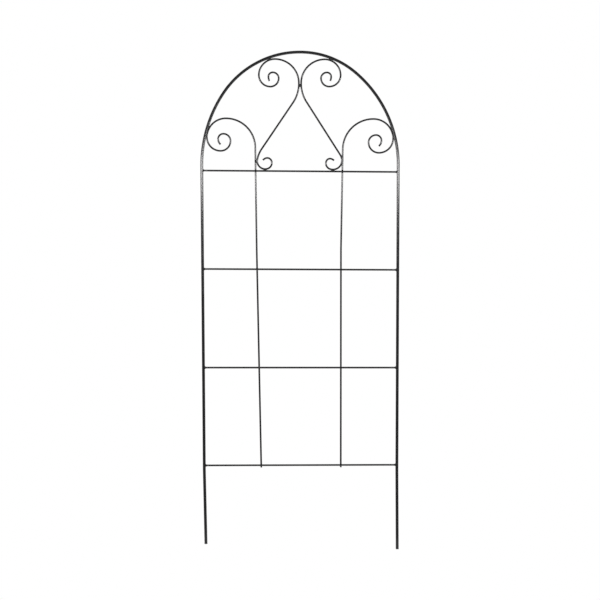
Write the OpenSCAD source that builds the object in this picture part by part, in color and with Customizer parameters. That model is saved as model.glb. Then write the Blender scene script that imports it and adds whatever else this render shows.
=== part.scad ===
// Espalier frame: a flat arched garden trellis of round steel wire, bent cold and welded.
// Seen from the front, +X is right, +Z is up and +Y is the back. The right foot is at z = 0.
// In the front plane, heights are taken from the spring of the arch, up or down.

/* [Hoop] */
// Width over the outside of the hoop, where its arch springs from the legs
frame_w = 600; // [520:5:720]
// Diameter of the hoop rod
hoop_d = 9; // [6:0.5:10]
// Rise of the arch from its spring to its crown, on the centre line of the rod
arch_rise = 339; // [320:0.5:380]
// Turn of the left shoulder arc, from upright leg to crown arc, in degrees
left_shoulder_turn = 33; // [30:1:54]
// Turn of the right shoulder arc, from upright leg to crown arc, in degrees
right_shoulder_turn = 50; // [30:1:54]
// Lean of the left leg towards the middle, in degrees
left_leg_lean = 0.48; // [0:0.02:1]
// Lean of the right leg towards the middle, in degrees
right_leg_lean = 0.26; // [0:0.02:1]

/* [Stakes] */
// Height of the bottom rail above the right foot
right_stake_l = 253.1; // [200:0.1:350]
// Height of the bottom rail above the left foot
left_stake_l = 237.6; // [190:0.1:252]
// Lean of the left stake towards the middle, in degrees
left_stake_lean = 1.3; // [-2:0.02:2]
// Lean of the right stake towards the middle, in degrees
right_stake_lean = -0.26; // [-2:0.02:2]
// Radius of the slight bend between leg and stake
stake_bend_r = 150; // [60:5:250]
// Drop of that bend below the bottom rail
stake_bend_drop = 12; // [10:1:40]

/* [Rails] */
// Diameter of the rail, upright and scroll wire
wire_d = 5.5; // [3:0.5:6]
// Spacing of the rails, centre to centre
rail_pitch = 295.3; // [220:0.1:360]
// Drop of the top rail below the spring of the arch
top_rail_drop = 19.5; // [15:0.5:60]
// Lift of the bottom rail above its even spacing
bottom_rail_lift = 2; // [0:0.5:10]
// Tilt of the bottom rail, right end up, in degrees
bottom_rail_tilt = 0.18; // [-0.6:0.02:0.6]
// Tilt of the lower rail, right end up, in degrees
lower_rail_tilt = 0; // [-0.6:0.02:0.6]
// Tilt of the upper rail, right end up, in degrees
upper_rail_tilt = -0.26; // [-0.6:0.02:0.6]
// Tilt of the top rail, right end up, in degrees
top_rail_tilt = -0.42; // [-0.6:0.02:0.6]

/* [Uprights] */
// Distance from the left leg to the left upright, at the top rail
left_upright_gap = 162; // [130:0.5:200]
// Distance from the right leg to the right upright, at the top rail
right_upright_gap = 168; // [130:0.5:200]
// Lean of the left upright at the top rail, top outwards, in degrees
left_upright_lean = 0.8; // [-1:0.05:2]
// Lean of the right upright at the top rail, top outwards, in degrees
right_upright_lean = 1.05; // [-1:0.05:2]
// Turn outwards of the slight bend in the left upright, in degrees
left_upright_set = -0.4; // [-1.5:0.05:1.5]
// Turn outwards of the slight bend in the right upright, in degrees
right_upright_set = 1; // [-1.5:0.05:1.5]
// Height of that bend above the upper rail
upright_set_rise = 60; // [40:1:100]
// Radius of that bend
upright_set_r = 150; // [60:5:250]
// Tail of each upright below the centre line of the bottom rail
upright_tail = 5; // [3:0.5:20]
// Straight run of the left upright above the top rail, to the start of its scroll
left_shoulder_run = 72; // [50:0.5:110]
// Straight run of the right upright above the top rail, to the start of its scroll
right_shoulder_run = 67; // [50:0.5:110]
// Radius of a shoulder scroll's second quarter turn, as a share of its first
shoulder_second_share = 0.64; // [0.6:0.01:0.76]
// Each later quarter turn of a shoulder scroll has this share of the radius before it
shoulder_tightening = 0.725; // [0.62:0.005:0.76]
// Turn of the hook at a shoulder scroll's end, in degrees
shoulder_hook_turn = 48; // [20:1:80]
// Radius of that hook, as a share of the quarter turn before it
shoulder_hook_share = 1.4; // [0.6:0.1:2]

/* [Lyre scrolls] */
// Drop of the neck, where the two lyre wires meet, below the crown of the arch
neck_drop = 93; // [80:0.5:120]
// Gap between the two lyre wires at the neck
neck_gap = 1.5; // [0.5:0.1:3]
// Straight length of each wire at the neck
neck_l = 2.5; // [2:0.5:16]
// Radius of the outward bend below the neck
neck_bend_r = 100; // [60:5:130]
// Radius of a crown scroll's second quarter turn, as a share of its first
crown_second_share = 0.67; // [0.6:0.01:0.76]
// Each later quarter turn of a crown scroll has this share of the radius before it
crown_tightening = 0.72; // [0.62:0.005:0.76]
// Turn of the hook at a crown scroll's end, in degrees
crown_hook_turn = 25; // [10:1:60]
// Radius of that hook, as a share of the quarter turn before it
crown_hook_share = 2.4; // [0.6:0.1:3]
// Radius of the first turn of the left bottom curl
left_curl_r = 24; // [20:0.5:36]
// Radius of the first turn of the right bottom curl
right_curl_r = 27; // [20:0.5:36]
// Radius of the bend from the left diagonal into its curl, as a share of that first turn
left_curl_lead = 3.4; // [1.1:0.1:3.6]
// Radius of the bend from the right diagonal into its curl, as a share of that first turn
right_curl_lead = 1.3; // [1.1:0.1:3.6]
// Distance of the left curl's widest point inside the centre line of its upright
left_curl_inset = 5.2; // [0:0.1:6]
// Distance of the right curl's widest point inside the centre line of its upright
right_curl_inset = 2; // [0:0.1:6]
// Turn of a curl's first radius past the point where it sits on the top rail, in degrees
curl_seat_turn = 20; // [15:1:40]
// Each quarter turn of the left bottom curl has this share of the radius before it
left_curl_tightening = 0.75; // [0.62:0.01:0.76]
// Each quarter turn of the right bottom curl has this share of the radius before it
right_curl_tightening = 0.67; // [0.62:0.01:0.76]
// Turn of the hook at a bottom curl's end, in degrees
curl_hook_turn = 28; // [10:1:60]
// Radius of that hook, as a share of the quarter turn before it
curl_hook_share = 1.6; // [0.8:0.1:2]

/* [Welds] */
// Gap between two wires at a joint, which the weld metal fills
root_gap = 0.4; // [0.3:0.05:0.6]
// Stand-out of a weld bead past the thinner wire of its joint
weld_throat = 0.9; // [0.6:0.05:1.6]
// Stand-out of the larger beads at the top of each crown scroll and under each bottom curl
scroll_weld_throat = 1.6; // [1:0.1:1.7]
// Stand-out of the larger bead that ties the two lyre wires at the neck
neck_weld_throat = 1.4; // [1:0.1:2.5]
// Drop of that bead below the start of the outward bends
neck_weld_drop = 5; // [3:0.5:8]
// Clearance between a weld bead and the wires that it joins, which keeps their solids apart
seam = 0.1; // [0.05:0.01:0.12]

/* [Hidden] */
$fn = 64;
finish = [0.1, 0.1, 0.11];

// Sides and rails by number, two ways in the front plane's drawing, and the quarter turns of a
// scroll after its first and of a curl
LEFT = -1;
RIGHT = 1;
BOTTOM = 0;
LOWER = 1;
UPPER = 2;
TOP = 3;
rails = [BOTTOM, LOWER, UPPER, TOP];
RIGHTWARDS = [1, 0, 0];
BACKWARDS = [0, 0, -1];
later_quarters = 5;
curl_quarters = 2;
// Spare arc, in degrees, that a bend is cut back from at each end
bend_trim = 4;
// Extra thickness of every second stretch of a wire, so that its stretches meet in clean steps
step = 0.01;
// Sides of a wire's section, and steps of an arc round its full circle
section_sides = 48;
function arc_steps(r) = ceil(16 * sqrt(r));

// Values of one side. The left half is drawn as on the right and mirrored.
function pick(side, left, right) = side == LEFT ? left : right;
function shoulder_turn(side) = pick(side, left_shoulder_turn, right_shoulder_turn);
function leg_lean(side) = pick(side, left_leg_lean, right_leg_lean);
function stake_lean(side) = pick(side, left_stake_lean, right_stake_lean);
function stake_l(side) = pick(side, left_stake_l, right_stake_l);
function upright_lean(side) = pick(side, left_upright_lean, right_upright_lean);
function upright_set(side) = pick(side, left_upright_set, right_upright_set);
function low_lean(side) = upright_lean(side) - upright_set(side);
function upright_gap(side) = pick(side, left_upright_gap, right_upright_gap);
function shoulder_run(side) = pick(side, left_shoulder_run, right_shoulder_run);
rail_tilt = [bottom_rail_tilt, lower_rail_tilt, upper_rail_tilt, top_rail_tilt];

// Levels of the rails, the crown and the feet in the front plane, and of the spring above ground
function rail_z(k) = -top_rail_drop - (TOP - k) * rail_pitch + (k == BOTTOM ? bottom_rail_lift : 0);
function foot_z(side) = rail_z(BOTTOM) - stake_l(side);
crown_z = arch_rise;
spring_h = -foot_z(RIGHT);

// Each half of the arch is a crown arc and a shoulder arc, tangent to each other
half_w = (frame_w - hoop_d) / 2;
function centre_step(side) = (arch_rise - half_w)
    / (sin(shoulder_turn(side)) + cos(shoulder_turn(side)) - 1);
function crown_r(side) = arch_rise - centre_step(side) * sin(shoulder_turn(side));
function shoulder_r(side) = crown_r(side) + centre_step(side);
function crown_centre(side) = [0, crown_z - crown_r(side)];
function shoulder_centre(side) = [half_w - shoulder_r(side), 0];

// Straight lines of the legs and uprights, as x at a height, and where a rail crosses them
function leg_top(side) = shoulder_centre(side)
    + shoulder_r(side) * [cos(leg_lean(side)), -sin(leg_lean(side))];
function leg_x(side, z) = leg_top(side).x + (z - leg_top(side).y) * tan(leg_lean(side));
function high_x(side, z) = half_w - upright_gap(side) + (z - rail_z(TOP)) * tan(upright_lean(side));
set_z = rail_z(UPPER) + upright_set_rise;
function set_point(side) = [high_x(side, set_z), set_z];
function upright_x(side, z) = z > set_z ? high_x(side, z)
    : set_point(side).x + (z - set_z) * tan(low_lean(side));
function lean_at(side, k) = k == TOP ? upright_lean(side) : low_lean(side);
function rail_rise(side, k) = side * tan(rail_tilt[k]);
function cross_z(side, k, x, lean) = (rail_z(k) + rail_rise(side, k) * (x - rail_z(k) * tan(lean)))
    / (1 - rail_rise(side, k) * tan(lean));
function leg_cross(side, k) =
    let (z = cross_z(side, k, leg_x(side, rail_z(k)), leg_lean(side))) [leg_x(side, z), z];
function upright_cross(side, k) =
    let (z = cross_z(side, k, upright_x(side, rail_z(k)), lean_at(side, k))) [upright_x(side, z), z];

// Joints: wires in one plane lie side by side, and the uprights lie behind the rails
layer = wire_d + root_gap;
hoop_touch = (hoop_d + wire_d) / 2 + root_gap;
hoop_lap = sqrt(hoop_touch * hoop_touch - layer * layer);
// Turn of a bead about its poles, which keeps its seam off the wires' sides
bead_turn = 30;
// Length of wire that is cut out of a weld bead, longer than any bead
stretch_l = 3 * (wire_d / 2 + max(weld_throat, scroll_weld_throat, neck_weld_throat));

// First radius of a scroll whose second quarter touches a circle of radius reach from inside.
// The scroll starts at [a, b] from that circle's centre and runs up, then turns outwards.
function first_r(a, b, reach, share) = let (
    k = 2 * (1 - share),
    m = 2 * (a + b * (1 - share) + reach * share),
    n = a * a + b * b - reach * reach
) (sqrt(m * m - 4 * k * n) - m) / (2 * k);

// Shoulder scroll of an upright: its start, its frame, its first radius and its touch on the hoop
function ahead(lean) = [sin(lean), cos(lean)];
function beside(lean) = [cos(lean), -sin(lean)];
function shoulder_start(side) = [upright_x(side, rail_z(TOP)), rail_z(TOP)]
    + shoulder_run(side) * ahead(upright_lean(side));
function shoulder_first_r(side) = let (v = shoulder_start(side) - shoulder_centre(side))
    first_r(v * beside(upright_lean(side)), v * ahead(upright_lean(side)),
        shoulder_r(side) - hoop_lap, shoulder_second_share);
function shoulder_second_r(side) = shoulder_first_r(side) * shoulder_second_share;
function shoulder_second_centre(side) = shoulder_start(side)
    + shoulder_first_r(side) * beside(upright_lean(side))
    + (shoulder_first_r(side) - shoulder_second_r(side)) * ahead(upright_lean(side));

// Crown scroll of a lyre: its start at the neck, its first radius and its touch on the hoop
neck_x = (wire_d + neck_gap) / 2;
neck_z = crown_z - neck_drop;
function crown_first_r(side) = first_r(neck_x, neck_z - crown_centre(side).y,
    crown_r(side) - hoop_touch, crown_second_share);
function crown_second_r(side) = crown_first_r(side) * crown_second_share;
function crown_second_centre(side) = [neck_x, neck_z]
    + [crown_first_r(side), crown_first_r(side) - crown_second_r(side)];

// Bottom curl of a lyre: it sits on the top rail and its widest point meets the upright
function curl_r(side) = pick(side, left_curl_r, right_curl_r);
function curl_inset(side) = pick(side, left_curl_inset, right_curl_inset);
function curl_tightening(side) = pick(side, left_curl_tightening, right_curl_tightening);
function curl_lift(side) = (curl_r(side) + layer) / cos(rail_tilt[TOP]);
function curl_x(side, z) = upright_x(side, z) - curl_inset(side) - curl_r(side);
function curl_z(side) = (rail_z(TOP) + curl_lift(side) + rail_rise(side, TOP) * curl_x(side, 0))
    / (1 - rail_rise(side, TOP) * tan(upright_lean(side)));
function curl_centre(side) = [curl_x(side, curl_z(side)), curl_z(side)];

// The wider bend that leads into a curl ends above the weld at the curl's widest point
function curl_lead_r(side) = curl_r(side) * pick(side, left_curl_lead, right_curl_lead);
function curl_start(side) = asin((wire_d / 2 + weld_throat + root_gap) / curl_r(side));
function curl_lead_centre(side) = curl_centre(side)
    - (curl_lead_r(side) - curl_r(side)) * [cos(curl_start(side)), sin(curl_start(side))];

// The diagonal of a lyre is the line that touches the neck bend and the curl's lead from
// opposite sides
neck_bend_centre = [neck_x + neck_bend_r, neck_z - neck_l];
function diagonal_span(side) = curl_lead_centre(side) - neck_bend_centre;
function diagonal_reach(side) = neck_bend_r + curl_lead_r(side);
function diagonal_turn(side) = atan2(diagonal_span(side).x, -diagonal_span(side).y)
    + asin(diagonal_reach(side) / norm(diagonal_span(side)));
function diagonal_l(side) = sqrt(pow(norm(diagonal_span(side)), 2) - pow(diagonal_reach(side), 2));

// Draws in the front plane, with the drawing's Y as height, back from the front by a depth
module front(depth = 0) {
    translate([0, depth, spring_h])
        rotate([90, 0, 0])
            children();
}

// Draws the right half as it is, or the left half mirrored
module half(side) {
    if (side == LEFT)
        mirror([1, 0, 0])
            children();
    else
        children();
}

// A straight piece of wire along +Y. What follows starts at its end.
module straight(d, l) {
    rotate([-90, 0, 0])
        cylinder(d = d, h = l, $fn = section_sides);
    translate([0, l, 0])
        children();
}

// An arc of wire round the origin
module arc(d, r, from, sweep) {
    rotate_extrude(angle = sweep, start = from, $fn = arc_steps(r))
        translate([r, 0])
            circle(d = d, $fn = section_sides);
}

// A quarter turn to the right that starts along +Y. What follows starts at its end.
module quarter(d, r) {
    translate([r, 0, 0]) {
        arc(d, r, 90, 90);
        rotate(-90)
            translate([-r, 0, 0])
                children();
    }
}

// A bend that starts along +Y and turns left by a positive angle or right by a negative one.
// It is cut square at both ends, and what follows starts at its end.
module bend(d, r, turn) {
    side = turn > 0 ? 1 : -1;
    from = turn > 0 ? 0 : 180 + turn;
    reach = r + d;
    if (turn == 0)
        children();
    else
        translate([-side * r, 0, 0]) {
            intersection() {
                arc(d, r, from - bend_trim, abs(turn) + 2 * bend_trim);
                translate([-reach, 0, -d])
                    cube([2 * reach, reach, 2 * d]);
                rotate(turn)
                    translate([-reach, -reach, -d])
                        cube([2 * reach, reach, 2 * d]);
            }
            rotate(turn)
                translate([side * r, 0, 0])
                    children();
        }
}

// A scroll of quarter turns to the right, each tighter by the same share, and a hook at its end
module scroll(d, r, share, quarters, hook, hook_turn) {
    if (quarters > 0)
        quarter(d, r)
            scroll(d, r * (quarters > 1 ? share : hook), share, quarters - 1, hook, hook_turn);
    else
        translate([r, 0, 0])
            arc(d, r, 180 - hook_turn, hook_turn);
}

// Half of the hoop, from the crown over the shoulder and down the leg to the foot. The left
// crown arc is two steps thicker than the right one, which it meets at the crown.
module half_hoop(side) {
    crown_d = hoop_d + pick(side, 2 * step, 0);
    set = stake_lean(side) - leg_lean(side);
    bend_z = rail_z(BOTTOM) - stake_bend_drop;
    bend_l = stake_bend_r * abs(sin(stake_lean(side)) - sin(leg_lean(side)));
    leg_run = (leg_top(side).y - bend_z) / cos(leg_lean(side));
    stake_run = (bend_z - bend_l - foot_z(side)) / cos(stake_lean(side));
    half(side)
        front()
            translate([0, crown_z, 0])
                rotate(-90)
                    bend(crown_d, crown_r(side), shoulder_turn(side) - 90)
                        bend(hoop_d + step, shoulder_r(side), -shoulder_turn(side) - leg_lean(side))
                            straight(hoop_d, leg_run)
                                bend(hoop_d + step, stake_bend_r, -set)
                                    straight(hoop_d, stake_run);
}

// The hoop rod: both stakes, both legs and the arch in one piece
module outer_hoop() {
    color(finish) {
        half_hoop(LEFT);
        half_hoop(RIGHT);
    }
}

// An upright behind the rails, from its tail below the bottom rail to its shoulder scroll
module upright(side) {
    lean = low_lean(side);
    set = upright_set(side);
    tail = upright_cross(side, BOTTOM) - upright_tail * ahead(lean);
    set_l = upright_set_r * tan(abs(set) / 2);
    low_run = norm(set_point(side) - tail) - set_l;
    high_run = norm(shoulder_start(side) - set_point(side)) - set_l;
    color(finish)
        half(side)
            front(layer)
                translate(tail)
                    rotate(-lean)
                        straight(wire_d, low_run)
                            bend(wire_d + step, upright_set_r, -set)
                                straight(wire_d, high_run)
                                    quarter(wire_d, shoulder_first_r(side))
                                        scroll(wire_d, shoulder_second_r(side), shoulder_tightening,
                                            later_quarters, shoulder_hook_share, shoulder_hook_turn);
}

module left_upright() {
    upright(LEFT);
}

module right_upright() {
    upright(RIGHT);
}

// The bottom curl of a lyre, from the end of the bend that leads into it
module bottom_curl(side) {
    bend(wire_d + step, curl_r(side), -curl_start(side) - 90 - curl_seat_turn)
        scroll(wire_d, curl_r(side) * curl_tightening(side), curl_tightening(side),
            curl_quarters, curl_hook_share, curl_hook_turn);
}

// A lyre scroll: the crown scroll above the neck, the diagonal below it and the bottom curl
module lyre_scroll(side) {
    turn = diagonal_turn(side);
    start = curl_start(side);
    color(finish)
        half(side)
            front()
                translate([neck_x, neck_z, 0]) {
                    quarter(wire_d, crown_first_r(side))
                        scroll(wire_d, crown_second_r(side), crown_tightening,
                            later_quarters, crown_hook_share, crown_hook_turn);
                    rotate(180)
                        straight(wire_d, neck_l)
                            bend(wire_d + step, neck_bend_r, turn)
                                straight(wire_d, diagonal_l(side))
                                    bend(wire_d + 2 * step, curl_lead_r(side), start - turn)
                                        bottom_curl(side);
                }
}

module left_lyre_scroll() {
    lyre_scroll(LEFT);
}

module right_lyre_scroll() {
    lyre_scroll(RIGHT);
}

// A rail between the legs, butted against the inside of the hoop, and thicker all round if asked
module rail(k, spare = 0) {
    from = leg_cross(LEFT, k);
    to = leg_cross(RIGHT, k);
    butt = hoop_d / 2 + root_gap - spare;
    span = norm([from.x + to.x, to.y - from.y]) - 2 * butt;
    color(finish)
        front()
            translate([-from.x, from.y, 0])
                rotate(rail_tilt[k] - 90)
                    translate([0, butt, 0])
                        straight(wire_d + 2 * spare, span);
}

module top_rail() {
    rail(TOP);
}

module upper_rail() {
    rail(UPPER);
}

module lower_rail() {
    rail(LOWER);
}

module bottom_rail() {
    rail(BOTTOM);
}

// A weld bead at a place in the front plane, some way back, less the wires that it joins.
// Its poles lie on the line across from one wire to the other, so that the wires cut them away.
module weld(side, place, depth, across, throat) {
    color(finish)
        difference() {
            half(side)
                front(depth)
                    translate(place)
                        rotate([0, acos(across.z / norm(across)), atan2(across.y, across.x)])
                            rotate(bead_turn)
                                sphere(r = wire_d / 2 + throat);
            children();
        }
}

// The stretch of a straight wire at a weld, and of a bent one round its centre, less their seam
module straight_at(side, depth, place, lean, d) {
    half(side)
        front(depth)
            translate(place)
                rotate(-lean)
                    translate([0, -stretch_l / 2, 0])
                        straight(d + 2 * seam, stretch_l);
}

module bent_at(side, depth, centre, toward, r, d) {
    sweep = 2 * asin(stretch_l / 2 / r);
    half(side)
        front(depth)
            translate(centre)
                arc(d + 2 * seam, r, atan2(toward.y, toward.x) - sweep / 2, sweep);
}

// The four beads that hold the rails' ends on one leg
module rail_end_welds(side) {
    for (k = rails)
        weld(side, leg_cross(side, k) - [hoop_d / 2, 0], 0, RIGHTWARDS, weld_throat) {
            straight_at(side, 0, leg_cross(side, k), leg_lean(side), hoop_d);
            rail(k, seam);
        }
}

module left_rail_end_welds() {
    rail_end_welds(LEFT);
}

module right_rail_end_welds() {
    rail_end_welds(RIGHT);
}

// The four beads where one upright crosses the rails
module crossing_welds(side) {
    for (k = rails)
        weld(side, upright_cross(side, k), layer / 2, BACKWARDS, weld_throat) {
            straight_at(side, layer, upright_cross(side, k), lean_at(side, k), wire_d);
            rail(k, seam);
        }
}

module left_crossing_welds() {
    crossing_welds(LEFT);
}

module right_crossing_welds() {
    crossing_welds(RIGHT);
}

// The bead between the hoop and a shoulder scroll, which lies a layer behind it
module shoulder_weld(side) {
    second = shoulder_second_centre(side);
    out = second - shoulder_centre(side);
    share = (hoop_d + root_gap) / 2 / hoop_touch;
    place = shoulder_centre(side) + (shoulder_r(side) - share * hoop_lap) * out / norm(out);
    across = [hoop_lap * out.x, hoop_lap * out.y, layer * norm(out)];
    weld(side, place, share * layer, across, weld_throat) {
        bent_at(side, 0, shoulder_centre(side), out, shoulder_r(side), hoop_d + step);
        bent_at(side, layer, second, out, shoulder_second_r(side), wire_d);
    }
}

module left_shoulder_weld() {
    shoulder_weld(LEFT);
}

module right_shoulder_weld() {
    shoulder_weld(RIGHT);
}

// The bead between the hoop and a crown scroll
module crown_weld(side) {
    second = crown_second_centre(side);
    out = second - crown_centre(side);
    place = crown_centre(side) + (crown_r(side) - (hoop_d + root_gap) / 2) * out / norm(out);
    weld(side, place, 0, [out.x, out.y, 0], scroll_weld_throat) {
        bent_at(side, 0, crown_centre(side), out, crown_r(side), hoop_d);
        bent_at(side, 0, second, out, crown_second_r(side), wire_d);
    }
}

module left_crown_weld() {
    crown_weld(LEFT);
}

module right_crown_weld() {
    crown_weld(RIGHT);
}

// The bead that ties the two lyre scrolls together, where they start to bend apart below the neck
module neck_weld() {
    toward = [-neck_bend_r, -neck_weld_drop];
    weld(RIGHT, [0, neck_bend_centre.y - neck_weld_drop], 0, RIGHTWARDS, neck_weld_throat) {
        bent_at(LEFT, 0, neck_bend_centre, toward, neck_bend_r, wire_d + step);
        bent_at(RIGHT, 0, neck_bend_centre, toward, neck_bend_r, wire_d + step);
    }
}

// The bead between the bottom curl and the top rail under it
module curl_rail_weld(side) {
    down = [side * sin(rail_tilt[TOP]), -cos(rail_tilt[TOP])];
    place = curl_centre(side) + (curl_r(side) + layer / 2) * down;
    weld(side, place, 0, [down.x, down.y, 0], scroll_weld_throat) {
        bent_at(side, 0, curl_centre(side), down, curl_r(side), wire_d + step);
        rail(TOP, seam);
    }
}

module left_curl_rail_weld() {
    curl_rail_weld(LEFT);
}

module right_curl_rail_weld() {
    curl_rail_weld(RIGHT);
}

// The bead between the bottom curl and the upright behind it
module curl_upright_weld(side) {
    widest = curl_centre(side) + [curl_r(side), 0];
    behind = widest + [curl_inset(side), 0];
    weld(side, (widest + behind) / 2, layer / 2, [curl_inset(side), 0, -layer], weld_throat) {
        bent_at(side, 0, curl_centre(side), [1, 0], curl_r(side), wire_d + step);
        straight_at(side, layer, behind, upright_lean(side), wire_d);
    }
}

module left_curl_upright_weld() {
    curl_upright_weld(LEFT);
}

module right_curl_upright_weld() {
    curl_upright_weld(RIGHT);
}

outer_hoop();
left_upright();
right_upright();
left_lyre_scroll();
right_lyre_scroll();
top_rail();
upper_rail();
lower_rail();
bottom_rail();
left_rail_end_welds();
right_rail_end_welds();
left_crossing_welds();
right_crossing_welds();
left_shoulder_weld();
right_shoulder_weld();
left_crown_weld();
right_crown_weld();
neck_weld();
left_curl_rail_weld();
right_curl_rail_weld();
left_curl_upright_weld();
right_curl_upright_weld();
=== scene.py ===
import math

import bmesh
import bpy
import numpy as np
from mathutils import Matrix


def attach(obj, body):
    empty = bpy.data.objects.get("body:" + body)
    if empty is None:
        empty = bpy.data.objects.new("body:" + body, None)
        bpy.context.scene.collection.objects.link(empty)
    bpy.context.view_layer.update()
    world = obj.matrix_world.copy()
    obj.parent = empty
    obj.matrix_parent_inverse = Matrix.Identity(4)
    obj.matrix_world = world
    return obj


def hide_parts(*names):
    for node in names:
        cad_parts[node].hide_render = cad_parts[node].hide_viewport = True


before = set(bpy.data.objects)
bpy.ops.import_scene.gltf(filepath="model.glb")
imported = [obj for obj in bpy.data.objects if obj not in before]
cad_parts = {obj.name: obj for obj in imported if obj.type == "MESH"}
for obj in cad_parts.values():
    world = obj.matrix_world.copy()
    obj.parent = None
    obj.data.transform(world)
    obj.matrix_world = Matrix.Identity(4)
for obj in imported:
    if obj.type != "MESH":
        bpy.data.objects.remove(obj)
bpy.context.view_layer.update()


# ---- Outer hoop ----
# One 9 mm steel rod, bent cold to an arch with a leg at each side, and set once more below the
# bottom rail where the legs go into the soil. Its ends are cut square and their edges broken.
# It carries every other wire. The whole frame is powder coated black after welding.

MM = 0.001
ROD = 9.0
CROWN = (0.0, 1495.5)
LEVEL = 0.0
SET_RADIUS = 150.0
# From the crown down: crown arc, shoulder arc, leg, set and stake
HALVES = {
    "left": [(277.191, 57.0), (390.677, 33.48), 912.159, (SET_RADIUS, 0.82), 223.511],
    "right": [(257.492, 40.0), (363.893, 50.26), 913.758, (SET_RADIUS, -0.52), 239.741],
}
ARC_SAG = 0.015
STRAIGHT_STEP = 40.0


def bent_line(start, heading, bends):
    """The centre line of a bent wire seen from the front, in millimetres. A bend is a length
    that runs straight, or a radius and a turn to the right in degrees."""
    x, z = start
    angle = math.radians(heading)
    line = [start]
    for bend in bends:
        if isinstance(bend, tuple):
            radius, turn = bend[0], math.radians(bend[1])
            swing = math.copysign(radius, turn)
            hub_x = x + swing * math.sin(angle)
            hub_z = z - swing * math.cos(angle)
            steps = max(2, math.ceil(abs(turn) / math.sqrt(8 * ARC_SAG / radius)))
            for step in range(1, steps + 1):
                now = angle - turn * step / steps
                line.append((hub_x - swing * math.sin(now), hub_z + swing * math.cos(now)))
            angle -= turn
        else:
            steps = max(1, round(bend / STRAIGHT_STEP))
            for step in range(1, steps + 1):
                run = bend * step / steps
                line.append((x + run * math.cos(angle), z + run * math.sin(angle)))
        x, z = line[-1]
    return line


def on_side(side, line):
    """A line that was drawn on the right half of the frame, put on the side where it goes."""
    return [(-x, z) for x, z in line] if side == "left" else line


def as_piece(name, points, faces, crease):
    """A piece of the frame from points in millimetres, smooth but for creases over an angle."""
    mesh = bpy.data.meshes.new(name)
    mesh.from_pydata((np.array(points) * MM).tolist(), [], faces)
    mesh.shade_smooth()
    mesh.set_sharp_from_angle(angle=math.radians(crease))
    piece = bpy.data.objects.new(name, mesh)
    bpy.context.scene.collection.objects.link(piece)
    return piece


RING_SIDES = 32
BROKEN_EDGE = 0.12
CUT_CREASE = 24.0


def round_wire(name, line, thickness, depth=0.0):
    """A round wire along a line, set back by a depth, with the edges of its cut ends broken."""
    line = np.array(line)
    ahead = np.diff(line, axis=0)
    ahead /= np.linalg.norm(ahead, axis=1)[:, None]
    along = np.vstack([ahead[:1], ahead[:-1] + ahead[1:], ahead[-1:]])
    along /= np.linalg.norm(along, axis=1)[:, None]
    # A broken edge is a small quarter round, in three flats
    half = thickness / 2
    broken = BROKEN_EDGE * thickness
    little, more = 0.13 * broken, 0.5 * broken
    edge = [(0.0, half - broken), (little, half - more), (more, half - little), (broken, half)]
    rings = [(line[0] + inset * along[0], along[0], radius) for inset, radius in edge]
    rings += [(place, way, half) for place, way in zip(line[1:-1], along[1:-1])]
    rings += [(line[-1] - inset * along[-1], along[-1], radius)
              for inset, radius in edge[::-1]]
    points = []
    for (x, z), (way_x, way_z), radius in rings:
        for turn in np.linspace(0.0, 2 * math.pi, RING_SIDES, endpoint=False):
            out = radius * math.cos(turn)
            points.append((x - out * way_z, depth - radius * math.sin(turn), z + out * way_x))
    first_cut = list(range(RING_SIDES))
    faces = [first_cut[::-1]]
    for ring in range(len(rings) - 1):
        first, second = ring * RING_SIDES, (ring + 1) * RING_SIDES
        for side in range(RING_SIDES):
            after = (side + 1) % RING_SIDES
            faces.append([first + side, first + after, second + after, second + side])
    faces.append([(len(rings) - 1) * RING_SIDES + corner for corner in first_cut])
    return as_piece(name, points, faces, CUT_CREASE)


class Shade:
    """A value on its way through the nodes of a finish. Sums on such values add Math nodes."""

    def __init__(self, tree, socket=None):
        self.tree = tree
        self.socket = socket

    def node(self, kind, settings, sockets, out=0):
        made = self.tree.nodes.new(kind)
        for name, setting in settings.items():
            setattr(made, name, setting)
        for name, value in sockets.items():
            if isinstance(value, Shade):
                self.tree.links.new(value.socket, made.inputs[name])
            else:
                made.inputs[name].default_value = value
        return Shade(self.tree, made.outputs[out])

    def feed(self, shader, name):
        self.tree.links.new(self.socket, shader.inputs[name])

    def maths(self, operation, first, second):
        return self.node("ShaderNodeMath", {"operation": operation}, {0: first, 1: second})

    def __add__(self, other):
        return self.maths("ADD", self, other)

    def __radd__(self, other):
        return self.maths("ADD", other, self)

    def __sub__(self, other):
        return self.maths("SUBTRACT", self, other)

    def __rsub__(self, other):
        return self.maths("SUBTRACT", other, self)

    def __mul__(self, other):
        return self.maths("MULTIPLY", self, other)

    def __rmul__(self, other):
        return self.maths("MULTIPLY", other, self)


BLACK = (0.0075, 0.0075, 0.0082, 1.0)
DUST = (0.030, 0.029, 0.028, 1.0)
PER_METRE = 1000.0
DUST_SPECK = 0.45
PATCHES_PER_METRE = 26.0


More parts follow.
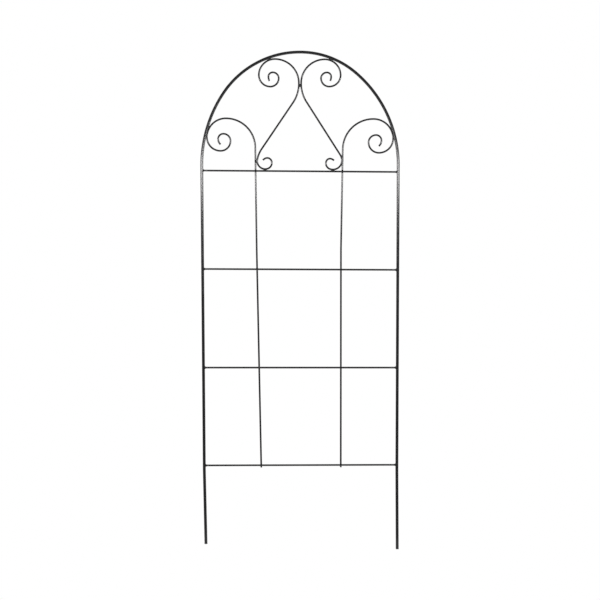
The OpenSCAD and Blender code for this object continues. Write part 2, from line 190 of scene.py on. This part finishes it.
def black_coat(name, peel, height, roughness, shine=0.5):
    """Satin black powder coat. Its skin has a fine peel, with a width and a height in
    millimetres. Some patches flowed out glossier than others when it was baked, and a little
    dust of the garden shed greys it."""
    finish = bpy.data.materials.new(name)
    finish.use_nodes = True
    shader = finish.node_tree.nodes["Principled BSDF"]
    shader.inputs["Specular IOR Level"].default_value = shine
    start = Shade(finish.node_tree)
    place = start.node("ShaderNodeTexCoord", {}, {}, "Object")
    skin = start.node("ShaderNodeTexNoise", {}, {
        "Vector": place, "Scale": PER_METRE / peel, "Detail": 2.0, "Roughness": 0.45}, "Fac")
    flow = start.node("ShaderNodeTexNoise", {}, {
        "Vector": place, "Scale": PATCHES_PER_METRE, "Detail": 3.0, "Roughness": 0.6}, "Fac")
    specks = start.node("ShaderNodeTexNoise", {}, {
        "Vector": place, "Scale": PER_METRE / DUST_SPECK, "Detail": 1.0, "Roughness": 0.5},
        "Fac")
    dust = start.node("ShaderNodeMapRange", {"interpolation_type": "SMOOTHSTEP"}, {
        "Value": specks * (0.7 + 0.6 * flow), "From Min": 0.62, "From Max": 0.8,
        "To Min": 0.0, "To Max": 0.5})
    start.node("ShaderNodeMix", {"data_type": "RGBA"}, {0: dust, 6: BLACK, 7: DUST}, 2).feed(
        shader, "Base Color")
    # Noise lies about its middle, 0.5, so that patches and peel leave the mean as it is given
    patchy, peeled, dusty = 0.14, 0.1, 0.2
    (roughness - 0.5 * peeled + patchy * (flow - 0.5) + peeled * skin + dusty * dust).feed(
        shader, "Roughness")
    start.node("ShaderNodeBump", {}, {
        "Height": skin, "Strength": 1.0, "Distance": height * MM}).feed(shader, "Normal")
    return finish


def fit(piece, node, finish):
    """Coats a piece and puts it on the frame in the place of its plain solid."""
    piece.data.materials.append(finish)
    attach(piece, "root")
    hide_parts(node)


rod_coat = black_coat("black_coat_on_rod", peel=1.5, height=0.004, roughness=0.21)
hoop_line = (on_side("left", bent_line(CROWN, LEVEL, HALVES["left"]))[::-1]
             + bent_line(CROWN, LEVEL, HALVES["right"])[1:])
fit(round_wire("hoop_rod", hoop_line, ROD), "outer_hoop", rod_coat)


# ---- Rails ----
# Four lengths of 5.5 mm steel wire, cut to run from leg to leg. Their ends butt against the
# rod's inner sides and are welded there. All but one lie a little out of level, as they were
# set by hand.

WIRE = 5.5
BUTT = 4.2
# Where each rail's line meets the middle of the left and of the right leg
RAILS = {
    "top_rail": ((-295.368, 1139.165), (295.405, 1134.835)),
    "upper_rail": ((-292.888, 843.029), (294.069, 840.366)),
    "lower_rail": ((-290.402, 546.4), (292.735, 546.4)),
    "bottom_rail": ((-287.938, 252.195), (291.408, 254.015)),
}

wire_coat = black_coat("black_coat_on_wire", peel=1.2, height=0.003, roughness=0.21)
for rail, ((left_x, left_z), (right_x, right_z)) in RAILS.items():
    length = math.hypot(right_x - left_x, right_z - left_z) - 2 * BUTT
    tilt = math.atan2(right_z - left_z, right_x - left_x)
    end = (left_x + BUTT * math.cos(tilt), left_z + BUTT * math.sin(tilt))
    rail_line = bent_line(end, math.degrees(tilt), [length])
    fit(round_wire(rail + "_wire", rail_line, WIRE), rail, wire_coat)


# ---- Uprights with shoulder scrolls ----
# Two lengths of 5.5 mm steel wire that stand behind the rails, each welded to all four. Above
# the top rail the wire is wound outwards round a former in tightening quarter turns, to
# a scroll that is welded to the hoop.

BEHIND = 5.9
UP = 90.0
QUARTER = 90.0
LATER_QUARTERS = 5
UPRIGHTS = {
    "left": {"tail": (116.516, 247.735), "lean": 1.2, "lower": 653.585, "set": -0.4,
             "upper": 306.799, "shoulder": 88.433},
    "right": {"tail": (122.617, 248.485), "lean": 0.05, "lower": 651.906, "set": 1.0,
              "upper": 301.03, "shoulder": 91.927},
}
SHOULDER_SCROLL = {"second": 0.64, "tightening": 0.725, "hook": 1.4, "hook_turn": 48.0}


def scroll(first, second, tightening, hook, hook_turn):
    """The bends of a scroll: a first quarter turn, five that tighten by one share, and a hook.
    The second quarter, each later one and the hook have a share of the radius before."""
    quarters = [second * first * tightening ** turn for turn in range(LATER_QUARTERS)]
    return ([(first, QUARTER)] + [(radius, QUARTER) for radius in quarters]
            + [(hook * quarters[-1], hook_turn)])


for side, upright in UPRIGHTS.items():
    bends = [upright["lower"], (SET_RADIUS, upright["set"]), upright["upper"]]
    bends += scroll(upright["shoulder"], **SHOULDER_SCROLL)
    upright_line = on_side(side, bent_line(upright["tail"], UP - upright["lean"], bends))
    fit(round_wire(side + "_upright_wire", upright_line, WIRE, BEHIND),
        side + "_upright", wire_coat)


# ---- Lyre scrolls ----
# Two lengths of 5.5 mm steel wire that make a lyre under the crown. From the neck, where the
# two are welded together, each is wound up and out to a crown scroll. Below the neck it runs
# out as a diagonal and bends into a small curl on the top rail, the left one more gently.

NECK = (3.5, 1402.5)
NECK_LENGTH = 2.5
NECK_BEND = 100.0
DOWN = -90.0
LYRES = {
    "left": {"crown": 72.052, "spread": 34.067, "diagonal": 169.398,
             "lead": 81.6, "start": 9.715, "curl": 24.0, "tightening": 0.75},
    "right": {"crown": 71.09, "spread": 32.485, "diagonal": 189.063,
              "lead": 35.1, "start": 8.627, "curl": 27.0, "tightening": 0.67},
}
CROWN_SCROLL = {"second": 0.67, "tightening": 0.72, "hook": 2.4, "hook_turn": 25.0}
CURL_TURN = 110.0
CURL_HOOK = 1.6
CURL_HOOK_TURN = 28.0

for side, lyre in LYRES.items():
    curl, start = lyre["curl"], lyre["start"]
    second, third = lyre["tightening"] * curl, lyre["tightening"] ** 2 * curl
    upper_line = bent_line(NECK, UP, scroll(lyre["crown"], **CROWN_SCROLL))
    lower_line = bent_line(NECK, DOWN, [
        NECK_LENGTH, (NECK_BEND, -lyre["spread"]), lyre["diagonal"],
        (lyre["lead"], lyre["spread"] - start), (curl, start + CURL_TURN),
        (second, QUARTER), (third, QUARTER), (CURL_HOOK * third, CURL_HOOK_TURN)])
    lyre_line = on_side(side, upper_line[::-1] + lower_line[1:])
    fit(round_wire(side + "_lyre_wire", lyre_line, WIRE),
        side + "_lyre_scroll", wire_coat)


# ---- Rail welds ----
# Beads of steel laid with a wire-fed torch: one where each rail's end meets a leg, and one at
# each crossing of a rail and an upright. The metal runs out onto both wires and sets in a lump
# with faint ripples. The coat lies over it.

OUTWARDS = {"left": -1, "right": 1}
LEG_LEAN = {"left": 0.48, "right": 0.26}
CROSSINGS = {
    "left": {"top_rail": (133.514, 1137.979), "upper_rail": (128.97, 842.285),
             "lower_rail": (122.772, 546.4), "bottom_rail": (116.62, 252.734)},
    "right": {"top_rail": (127.483, 1136.065), "upper_rail": (123.135, 841.141),
              "lower_rail": (122.877, 546.4), "bottom_rail": (122.622, 253.485)},
}


def off_straight(x, z, way_x, way_z, thickness, depth=0.0):
    """A measure of how far points lie off the skin of a straight wire."""
    size = math.hypot(way_x, way_z)

    def off_skin(points):
        across = ((points[:, 0] - x) * way_z - (points[:, 2] - z) * way_x) / size
        return np.hypot(across, points[:, 1] - depth) - thickness / 2
    return off_skin


def off_rail(rail):
    """The same for a rail."""
    (left_x, left_z), (right_x, right_z) = RAILS[rail]
    return off_straight(left_x, left_z, right_x - left_x, right_z - left_z, WIRE)


def off_upright(side, rail):
    """The same for an upright where it crosses a rail. The top rail lies above its set."""
    out, (x, z), upright = OUTWARDS[side], CROSSINGS[side][rail], UPRIGHTS[side]
    lean = math.radians(upright["lean"] + (upright["set"] if rail == "top_rail" else 0.0))
    return off_straight(out * x, z, out * math.sin(lean), math.cos(lean), WIRE, BEHIND)


BEAD = 3.65
BEAD_CREASE = 60.0
BALL_FINENESS = 4
RIPPLES = ((2.5, 0.05), (5.0, 0.025), (9.0, 0.012))
FULL_TURN = 6.3
MELT = 0.5
SUNK = 0.12
NEAREST = 0.3
RUN_OUT = 3.6
TRIES = 60
HALVINGS = 12


def bead_points(centre, joined, size):
    """A lump of weld metal round a centre, run out smoothly onto the wires that it joins. From
    the centre each point goes out in its own way until it first leaves the metal."""
    ball = bmesh.new()
    bmesh.ops.create_icosphere(ball, subdivisions=BALL_FINENESS, radius=1.0)
    ways = np.array([corner.co[:] for corner in ball.verts])
    faces = [[corner.index for corner in face.verts] for face in ball.faces]
    ball.free()
    # Each bead's place is its seed, so that each has its own ripples
    chance = np.random.default_rng(int(5000 + 10 * centre[0] + centre[2]))
    lump = np.zeros(len(ways))
    for pitch, share in RIPPLES:
        lump += share * np.sin(pitch * ways @ chance.normal(size=3)
                               + chance.uniform(0.0, FULL_TURN))

    def off_metal(reach):
        points = np.array(centre) + ways * reach[:, None]
        gaps = [reach - size * (1.0 + lump)]
        gaps += [off_skin(points) + SUNK for off_skin in joined]
        return -MELT * np.log(sum(np.exp(-gap / MELT) for gap in gaps))

    furthest = size + RUN_OUT
    inner, outer = np.full(len(ways), NEAREST), np.full(len(ways), furthest)
    still_in = np.ones(len(ways), bool)
    for reach in np.linspace(NEAREST, furthest, TRIES):
        in_metal = off_metal(np.full(len(ways), reach)) < 0.0
        outer = np.where(still_in & ~in_metal, reach, outer)
        still_in &= in_metal
        inner = np.where(still_in, reach, inner)
    for halving in range(HALVINGS):
        middle = (inner + outer) / 2
        in_metal = off_metal(middle) < 0.0
        inner = np.where(in_metal, middle, inner)
        outer = np.where(in_metal, outer, middle)
    points = np.array(centre) + ways * inner[:, None]
    points[:, 1] = np.clip(points[:, 1], -ROD / 2, BEHIND + WIRE / 2)
    return points, faces


def weld(name, node, beads):
    """One piece of all the beads that stand for a node of welds."""
    points, faces = [], []
    for bead, bead_faces in beads:
        before = sum(map(len, points))
        faces += [[before + corner for corner in face] for face in bead_faces]
        points.append(bead)
    fit(as_piece(name, np.vstack(points), faces, BEAD_CREASE), node, weld_coat)


weld_coat = black_coat("black_coat_on_weld", peel=0.9, height=0.012, roughness=0.5, shine=0.2)
for side, out in OUTWARDS.items():
    lean = math.radians(LEG_LEAN[side])
    end_beads, crossing_beads = [], []
    for rail, (left_end, right_end) in RAILS.items():
        leg_x, leg_z = left_end if side == "left" else right_end
        off_leg = off_straight(leg_x, leg_z, out * math.sin(lean), math.cos(lean), ROD)
        end_beads.append(bead_points(
            (leg_x - out * ROD / 2, 0.0, leg_z), [off_rail(rail), off_leg], BEAD))
        cross_x, cross_z = CROSSINGS[side][rail]
        crossing_beads.append(bead_points(
            (out * cross_x, BEHIND / 2, cross_z), [off_rail(rail), off_upright(side, rail)],
            BEAD))
    weld(side + "_rail_end_beads", side + "_rail_end_welds", end_beads)
    weld(side + "_crossing_beads", side + "_crossing_welds", crossing_beads)


# ---- Scroll welds ----
# The same beads where the scrolls touch: each shoulder scroll to the hoop and each bottom curl
# to the upright that it meets. Larger ones, laid twice, hold the crown scrolls to the hoop, the
# two lyre wires together at the neck and the bottom curls to the top rail.

LARGE_BEAD = 4.2
SHOULDER_BEADS = {"left": (279.957, 1254.35), "right": (279.822, 1251.347)}
SHOULDER_BEAD_DEPTH = 3.625
SHOULDER_HUBS = {"left": (223.375, 1239.591), "right": (221.245, 1235.392)}
CROWN_BEADS = {"left": (93.042, 1474.423), "right": (93.248, 1472.973)}
CURL_HUBS = {"left": (104.728, 1167.669), "right": (99.09, 1169.175)}
CURL_RAIL_BEADS = {"left": (104.926, 1140.719), "right": (98.87, 1139.225)}
CURL_UPRIGHT_BEADS = {"left": 131.328, "right": 127.09}
NECK_BEAD_HEIGHT = 1395.0


def off_bend(hub_x, hub_z, radius, thickness, depth=0.0):
    """A measure of how far points lie off the skin of a wire bent to an arc."""
    def off_skin(points):
        across = np.hypot(points[:, 0] - hub_x, points[:, 2] - hub_z) - radius
        return np.hypot(across, points[:, 1] - depth) - thickness / 2
    return off_skin


def lone_weld(joint, centre, joined, size):
    """A weld of one bead."""
    weld(joint + "_bead", joint + "_weld", [bead_points(centre, joined, size)])


for side, out in OUTWARDS.items():
    lyre = LYRES[side]

    # The hoop's crown arc and shoulder arc, which meet where the crown arc's turn ends
    crown_arc, crown_turn = HALVES[side][0]
    shoulder_arc = HALVES[side][1][0]
    turn = math.radians(crown_turn)
    crown_hub_z = CROWN[1] - crown_arc
    shoulder_hub_x = (crown_arc - shoulder_arc) * math.sin(turn)
    shoulder_hub_z = crown_hub_z + (crown_arc - shoulder_arc) * math.cos(turn)

    # The second quarter turn of each scroll is the one that touches the hoop
    bead_x, bead_z = SHOULDER_BEADS[side]
    hub_x, hub_z = SHOULDER_HUBS[side]
    second = SHOULDER_SCROLL["second"] * UPRIGHTS[side]["shoulder"]
    lone_weld(side + "_shoulder", (out * bead_x, SHOULDER_BEAD_DEPTH, bead_z),
              [off_bend(out * shoulder_hub_x, shoulder_hub_z, shoulder_arc, ROD),
               off_bend(out * hub_x, hub_z, second, WIRE, BEHIND)], BEAD)

    bead_x, bead_z = CROWN_BEADS[side]
    second = CROWN_SCROLL["second"] * lyre["crown"]
    hub_x, hub_z = NECK[0] + lyre["crown"], NECK[1] + lyre["crown"] - second
    lone_weld(side + "_crown", (out * bead_x, 0.0, bead_z),
              [off_bend(CROWN[0], crown_hub_z, crown_arc, ROD),
               off_bend(out * hub_x, hub_z, second, WIRE)], LARGE_BEAD)

    bead_x, bead_z = CURL_RAIL_BEADS[side]
    hub_x, hub_z = CURL_HUBS[side]
    off_curl = off_bend(out * hub_x, hub_z, lyre["curl"], WIRE)
    lone_weld(side + "_curl_rail", (out * bead_x, 0.0, bead_z),
              [off_curl, off_rail("top_rail")], LARGE_BEAD)
    lone_weld(side + "_curl_upright", (out * CURL_UPRIGHT_BEADS[side], BEHIND / 2, hub_z),
              [off_curl, off_upright(side, "top_rail")], BEAD)

lone_weld("neck", (0.0, 0.0, NECK_BEAD_HEIGHT),
          [off_bend(out * (NECK[0] + NECK_BEND), NECK[1] - NECK_LENGTH, NECK_BEND, WIRE)
           for out in OUTWARDS.values()], LARGE_BEAD)


# ---- Floor, light and camera ----
# A pale matt floor that the longer leg stands on. A soft lamp stands at each side in front, as
# high as the top rail, so that each upright wire carries a highlight there, and a wide one
# hangs overhead. The camera looks straight at the front from far off.

FLOOR_REACH = 8.0
FLOOR_LEVEL = -0.0006
FLOOR_CORNERS = ((-1, -1), (1, -1), (1, 1), (-1, 1))

floor_mesh = bpy.data.meshes.new("floor")
floor_mesh.from_pydata(
    [(x * FLOOR_REACH, y * FLOOR_REACH, FLOOR_LEVEL) for x, y in FLOOR_CORNERS],
    [], [[0, 1, 2, 3]])
floor = bpy.data.objects.new("floor", floor_mesh)
bpy.context.scene.collection.objects.link(floor)
floor_paint = bpy.data.materials.new("pale_floor")
floor_paint.use_nodes = True
floor_shader = floor_paint.node_tree.nodes["Principled BSDF"]
floor_shader.inputs["Base Color"].default_value = (0.80, 0.80, 0.79, 1.0)
floor_shader.inputs["Roughness"].default_value = 0.9
floor_shader.inputs["Specular IOR Level"].default_value = 0.1
floor_mesh.materials.append(floor_paint)


def lamp(name, place, aim, width, height, power):
    """A soft flat lamp that faces a point."""
    light = bpy.data.lights.new(name, "AREA")
    light.shape = "RECTANGLE"
    light.size = width
    light.size_y = height
    light.energy = power
    holder = bpy.data.objects.new(name, light)
    holder.location = place
    bpy.context.scene.collection.objects.link(holder)
    gap = [aim[axis] - place[axis] for axis in range(3)]
    flat = math.hypot(gap[0], gap[1])
    holder.rotation_euler = (math.atan2(flat, -gap[2]), 0.0, math.atan2(-gap[0], gap[1]))


LAMP_LEVEL = 1.145
for side, out in OUTWARDS.items():
    lamp(side + "_lamp", place=(out * 0.75, -0.8, LAMP_LEVEL), aim=(0.0, 0.0, LAMP_LEVEL),
         width=0.9, height=0.14, power=10.5)
lamp("overhead_lamp", place=(0.0, -0.6, 3.6), aim=(0.0, 0.0, 0.6),
     width=2.4, height=2.4, power=3.0)

# The backdrop is white to the eye, through glass and in a mirror. A mirror that faces away from
# it shows the dim room on the camera's side.
WHITE = 1.0
SOFT_LIGHT = 0.6
DIM_ROOM = 0.1

room = bpy.data.worlds.new("white_studio")
room.use_nodes = True
room_shader = room.node_tree.nodes["Background"]
air = Shade(room.node_tree)
seen = air.node("ShaderNodeLightPath", {}, {}, "Is Camera Ray")
through = air.node("ShaderNodeLightPath", {}, {}, "Is Transmission Ray")
mirrored = air.node("ShaderNodeLightPath", {}, {}, "Is Glossy Ray")
way = air.node("ShaderNodeTexCoord", {}, {}, "Generated")
depth = air.node("ShaderNodeSeparateXYZ", {}, {"Vector": way}, "Y")
backdrop = air.node("ShaderNodeMapRange", {"interpolation_type": "SMOOTHSTEP"}, {
    "Value": depth, "From Min": 0.1, "From Max": 0.6, "To Min": 0.0, "To Max": 1.0})
(SOFT_LIGHT + (WHITE - SOFT_LIGHT) * (seen + through)
 + mirrored * ((WHITE - DIM_ROOM) * backdrop - (SOFT_LIGHT - DIM_ROOM))).feed(
    room_shader, "Strength")
room_shader.inputs["Color"].default_value = (1.0, 1.0, 1.0, 1.0)
bpy.context.scene.world = room

VIEW_WIDTH = 1.8048
CAMERA_DISTANCE = 5.0
CAMERA_HEIGHT = 0.7497

camera_data = bpy.data.cameras.new("front_camera")
camera_data.type = "ORTHO"
camera_data.ortho_scale = VIEW_WIDTH
camera = bpy.data.objects.new("front_camera", camera_data)
camera.location = (0.0, -CAMERA_DISTANCE, CAMERA_HEIGHT)
camera.rotation_euler = (math.radians(90.0), 0.0, 0.0)
bpy.context.scene.collection.objects.link(camera)
bpy.context.scene.camera = camera
bpy.context.scene.view_settings.view_transform = "Standard"
